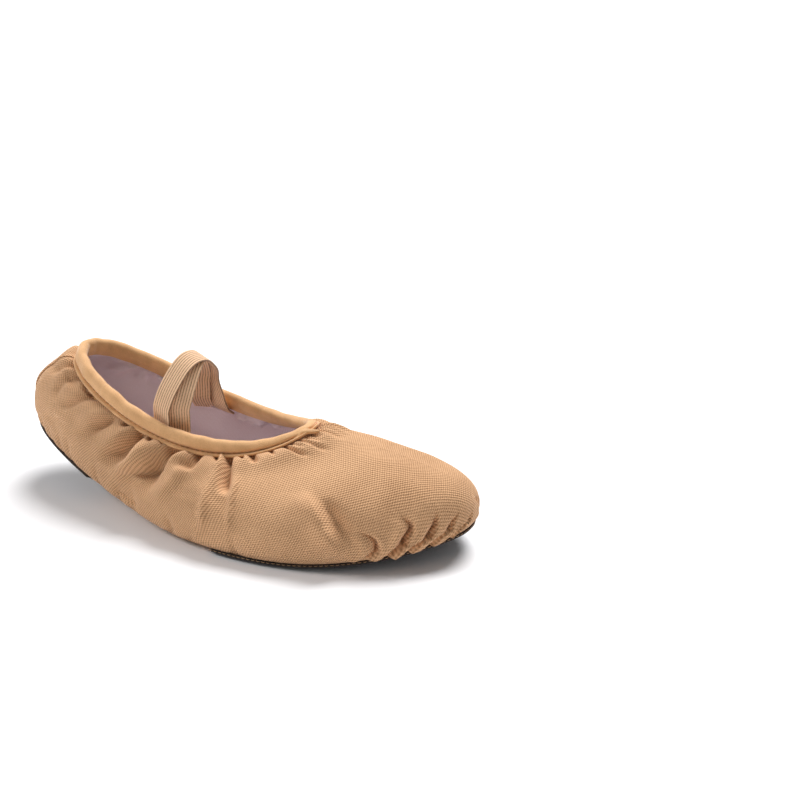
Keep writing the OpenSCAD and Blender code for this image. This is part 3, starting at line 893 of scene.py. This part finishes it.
def under_point(p, height):
    """Points at a height off the underside of the canvas, which turns up near the edge of the sole."""
    to_rim = RIM - p[..., None, :]
    far = np.linalg.norm(to_rim, axis=-1)
    nearest = far.argmin(-1)
    d = np.take_along_axis(far, nearest[..., None], -1)[..., 0]
    out = unit(np.take_along_axis(to_rim, nearest[..., None, None], -2)[..., 0, :])
    tilt = np.arcsin(np.clip(1 - d / UNDER_R, 0, 1))
    moved = p - out * (np.sin(tilt) * height)[..., None]
    z = sole_z(p[..., 0]) + UNDER_R * (1 - np.cos(tilt)) + np.cos(tilt) * height
    return stack(moved[..., 0], moved[..., 1], z)


def dome(name, outline, levels, material):
    """A flat piece from rings: each level is (share of the way in, height off the canvas).
    The first and last rings shut to a middle line, so the piece is closed."""
    middle_x = outline[:, 0].mean()
    core_x = mix(middle_x, outline[:, 0], 0.55)
    core = stack(core_x, centre_y(core_x))
    rings = [under_point(outline + (core - outline) * share, np.full(len(outline), height))
             for share, height in levels]
    points = np.array(rings)
    return grid(name, points, material, points[..., :2].copy(), closed=True)


def patch_levels(bottom, top, n=16, rim=0.012):
    """Ring levels from the middle of the underside out over the rim to the middle of the top."""
    inward = np.concatenate([np.linspace(1, 0.12, n), np.linspace(0.1, rim, 6)])
    low = [(s, bottom) for s in inward]
    high = [(s, top) for s in inward[::-1]]
    turn = np.radians([-70, -45, -15, 15, 45, 70])
    middle, half = (bottom + top) / 2, (top - bottom) / 2
    edge_rings = [(rim * (1 - math.cos(t)), middle + half * math.sin(t)) for t in turn]
    return low + edge_rings + high


def sole_stitches(name, outline, lift, body, node, material, pitch, r):
    """A row of stitches along a closed outline, at a height off the canvas."""
    closed = np.vstack([outline, outline[:1]])
    length = np.concatenate([[0], np.cumsum(np.linalg.norm(np.diff(closed, axis=0), axis=1))])
    paths = []
    count = int(length[-1] / pitch)
    pitch = length[-1] / count
    for i in range(count):
        s = np.linspace(i * pitch, (i + 0.68) * pitch, 4)
        x = np.interp(s, length, closed[:, 0])
        y = np.interp(s, length, closed[:, 1])
        dip = np.array([-0.2, 0.05, 0.05, -0.2]) * MM * (1 if lift > 0 else -1)
        paths.append(under_point(stack(x, y), lift + dip))
    obj = thread(name, paths, r, material)
    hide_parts(node)
    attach(obj, body)


def make_soles():
    """The two suede patches, each with its row of stitches."""
    # Side, body, outline, and how far in and how high its stitches run
    patches = (("front", "forefoot", (-74, 74, 2.3 * MM, -10 * MM, 0.6 * MM), -0.15 * MM, -1.0 * MM),
               ("heel", "rearfoot", (118, 242, 2.8 * MM, 9 * MM), 2.5 * MM, -SUEDE_T - 0.05 * MM))
    for side, body, shape, row_in, row_z in patches:
        obj = dome(side + "_suede", patch_points(*shape), patch_levels(-SUEDE_T, -0.05 * MM), SUEDE)
        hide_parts(side + "_outsole")
        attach(obj, body)
        ring = patch_points(shape[0] - 0.3, shape[1] + 0.3, shape[2] + row_in, *shape[3:])
        sole_stitches(side + "_sole_stitches", ring, row_z, body, side + "_sole_stitching",
                      LIGHT_THREAD, 2.4 * MM, 0.17 * MM)


def make_insole():
    """The two foam pads, the cloth over each, and the stitched oval on the heel pad."""
    pad_z, pad_top = 2.05 * MM, 4.55 * MM
    for side, body, args in (("front", "forefoot", (-72, 72, 8.6 * MM, -8 * MM)),
                             ("heel", "rearfoot", (104, 256, 8.6 * MM, 4 * MM))):
        outline = patch_points(*args)
        levels = [(s, pad_z) for s in np.linspace(1, 0.05, 8)] + [(0.0, mix(pad_z, pad_top, 0.5))]
        levels += [(s, pad_top - 0.5 * MM * (1 - s) ** 3) for s in np.linspace(0.05, 1, 10)]
        pad = dome(side + "_cushion", outline, levels, FOAM)
        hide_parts(side + "_pad")
        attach(pad, body)
        cover = [(s, pad_top + 0.12 * MM - 0.5 * MM * (1 - s) ** 3) for s in np.linspace(1, 0, 10)]
        cover += [(s, pad_top + 0.6 * MM - 0.5 * MM * (1 - s) ** 3) for s in np.linspace(0, 1, 26)]
        sock = dome(side + "_sock_cloth", outline, cover, SOCK)
        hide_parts(side + "_sock")
        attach(sock, body)
    t = np.linspace(0, TAU, 90, endpoint=False)
    oval_x = -82 * MM
    oval = stack(oval_x + 22 * MM * np.cos(t), centre_y(np.array(oval_x)) + 17 * MM * np.sin(t))
    sole_stitches("heel_pad_stitches", oval, pad_top + 0.72 * MM, "rearfoot", "heel_pad_stitching",
                  DARK_THREAD, 3.2 * MM, 0.28 * MM)


# ---------------------------------------------------------------- straps and small parts

STRAP_W, STRAP_T = 10 * MM, 0.9 * MM
STRAP_LEAN = math.radians(14)


def strap_path(r, reach_near, reach_far):
    """[sideways, up] points of a strap from one wall, over the top, to the other, from its pivot."""
    turn = np.linspace(0, math.pi, 25)
    pull = 1 - 0.11 * np.sin(2 * turn) ** 2
    arch = [(r * f * math.cos(t), r * f * math.sin(t)) for t, f in zip(turn, pull)]

    def foot(reach, side):
        return [(side * reach, -17.2 * MM), (side * 20.9 * MM, -14.2 * MM), (side * r, -10.5 * MM),
                (side * r, -7 * MM), (side * r, -3.5 * MM)]

    return smooth_curve(np.array(foot(reach_far, 1) + arch + foot(reach_near, -1)[::-1]), 260)


def make_strap(name, node, turn, r, tabs, near_drift, far_drift):
    """One elastic strap with its sewn ends, turned by turn degrees about the upright."""
    path = strap_path(r - STRAP_T / 2, 24.6 * MM, 24.0 * MM)
    across = np.linspace(-0.5, 0.5, 65)
    normal = unit(stack(np.gradient(path[:, 1]), -np.gradient(path[:, 0])))
    ribs = 0.26 * MM * np.abs(np.sin(across * math.pi * 8)) ** 0.8
    # The part above the pivot leans to the toe; the sewn ends stay upright
    lean = STRAP_LEAN * ease((path[:, 1] + 4 * MM) / (8 * MM))[:, None]
    spin = np.array(Matrix.Rotation(math.radians(turn), 3, "Z"))
    # The legs stray a little from a true half circle; far_drift is [halfway down, at the foot]
    near, far = (np.clip(side * path[:, 0] / r, 0, 1) ** 2 for side in (-1, 1))
    foot = ease((4 * MM - path[:, 1]) / (20 * MM))
    drift = (near_drift * near + far * mix(far_drift[0], far_drift[1], foot))[:, None]
    faces = []
    for level in (-1, 1):
        lift = level * (STRAP_T / 2 - 0.13 * MM + ribs)[None]
        side = path[:, 0:1] + normal[:, 0:1] * lift
        up = path[:, 1:2] + normal[:, 1:2] * lift
        along = across[None] * STRAP_W + drift
        x = along * np.cos(lean) + up * np.sin(lean)
        z = up * np.cos(lean) - along * np.sin(lean)
        faces.append(stack(x, side, z) @ spin.T + np.array(STRAP_CENTRE))
    run = np.concatenate([[0], np.cumsum(np.linalg.norm(np.diff(path, axis=0), axis=1))])
    uvs = stack((across * STRAP_W)[None], run[:, None])
    obj = thick_grid(name, faces[0], faces[1], WEB, uvs)
    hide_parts(node, *tabs)
    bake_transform(obj)


def make_straps():
    make_strap("strap_outer_web", "strap_outer", -15, 20.3 * MM, ["outer_tab_lateral", "outer_tab_medial"],
               3.8 * MM, (-4.5 * MM, 1.5 * MM))
    make_strap("strap_inner_web", "strap_inner", 15, 18.3 * MM, ["inner_tab_lateral", "inner_tab_medial"],
               1.4 * MM, (1.5 * MM, 1.5 * MM))


def make_heel_strip():
    """The canvas strip over the back seam, with a folded edge down each side."""
    rows = np.linspace(-0.2, 0.99, 60)
    half = np.radians(mix(8.5, 11.5, np.clip(rows, 0, 1)))
    f = np.linspace(-1, 1, 41)
    a = math.pi + half[:, None] * f[None]
    k = rows[:, None] * np.ones((1, len(f)))
    fold = np.cos(np.clip((np.abs(f)[None] - 0.8) / 0.12, -1, 1) * math.pi)
    crown = (0.95 - 0.28 * np.abs(f) ** 8)[None] * MM + 0.12 * MM * fold
    under = DRAPE.read(a, k)
    outer = wall(a, k) + wall_out(a, k) * (under + crown)[..., None]
    inner = wall(a, k) + wall_out(a, k) * (under + 0.05 * MM)[..., None]
    strip = thick_grid("heel_strip_cloth", outer, inner, CANVAS, side_uv(a, k))
    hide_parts("heel_strip")
    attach(strip, "rearfoot")


def make_label():
    """The blank tab of folded tape inside, under the binding."""
    k, a = np.meshgrid(np.linspace(0.80, 0.97, 14), np.radians(np.linspace(226, 242, 26)), indexing="ij")
    out = wall_out(a, k)
    outer = wall(a, k) - out * 3.1 * MM
    inner = wall(a, k) - out * 2.3 * MM
    label = thick_grid("label_tape", inner, outer, TAPE, cloth_uv(a, k))
    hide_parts("label_tab")
    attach(label, "rearfoot")


# ---------------------------------------------------------------- floor, lights, camera

def make_floor():
    mat, shader = node_material("floor_paper")[:2]
    shader.inputs["Base Color"].default_value = (0.93, 0.925, 0.94, 1)
    shader.inputs["Roughness"].default_value = 0.6
    shader.inputs["Specular IOR Level"].default_value = 0.2
    size, level = 4.0, -0.2 * MM
    corners = [(x * size, y * size, level) for x, y in ((-1, -1), (1, -1), (1, 1), (-1, 1))]
    floor = new_mesh("floor", corners, [[0, 1, 2, 3]], mat, smooth=False)


def make_lights():
    """Soft daylight all round, a big soft key from above and behind, a weaker one from the heel."""
    world = bpy.data.worlds.new("studio")
    world.use_nodes = True
    sky = world.node_tree.nodes["Background"]
    sky.inputs[0].default_value = (1, 1, 1, 1)
    sky.inputs[1].default_value = 0.27
    bpy.context.scene.world = world
    # Name, the side it comes from, strength, and how wide it looks in degrees
    suns = (("key", (0.0, 0.8, 1.1), 4.0, 35),
            ("side_fill", (-1.0, -0.4, 0.8), 1.25, 20))
    for name, place, strength, angle in suns:
        light = bpy.data.lights.new(name, "SUN")
        light.energy = strength
        light.angle = math.radians(angle)
        obj = bpy.data.objects.new(name, light)
        obj.rotation_euler = (-Vector(place)).to_track_quat("-Z", "Y").to_euler()
        bpy.context.scene.collection.objects.link(obj)
    bpy.context.scene.view_settings.view_transform = "Standard"


def make_camera():
    """The photograph's view: 25 degrees round to the toe's side, 24 above the floor, a metre away."""
    turn, tilt, distance = math.radians(25.3), math.radians(24.0), 1.0
    right = Vector((math.cos(turn), math.sin(turn), 0))
    level = Vector((-math.sin(turn), math.cos(turn), 0))
    ahead = level * math.cos(tilt) - Vector((0, 0, 1)) * math.sin(tilt)
    up = level * math.sin(tilt) + Vector((0, 0, 1)) * math.cos(tilt)
    # The shoe sits left of and below the middle of the frame
    aim = right * 0.0698 + up * 0.0475 + Vector((0, MID_SHIFT, 0))
    camera = bpy.data.cameras.new("camera")
    camera.lens = 95.85
    camera.sensor_width = 36
    obj = bpy.data.objects.new("camera", camera)
    obj.matrix_world = Matrix.Translation(aim - ahead * distance) @ Matrix(
        (right, up, -ahead)).transposed().to_4x4()
    bpy.context.scene.collection.objects.link(obj)
    bpy.context.scene.camera = obj


make_upper()
make_lining()
make_binding()
make_topline_elastic()
make_binding_stitches()
make_binding_tail()
make_soles()
make_insole()
make_straps()
make_heel_strip()
make_label()
make_floor()
make_lights()
make_camera()
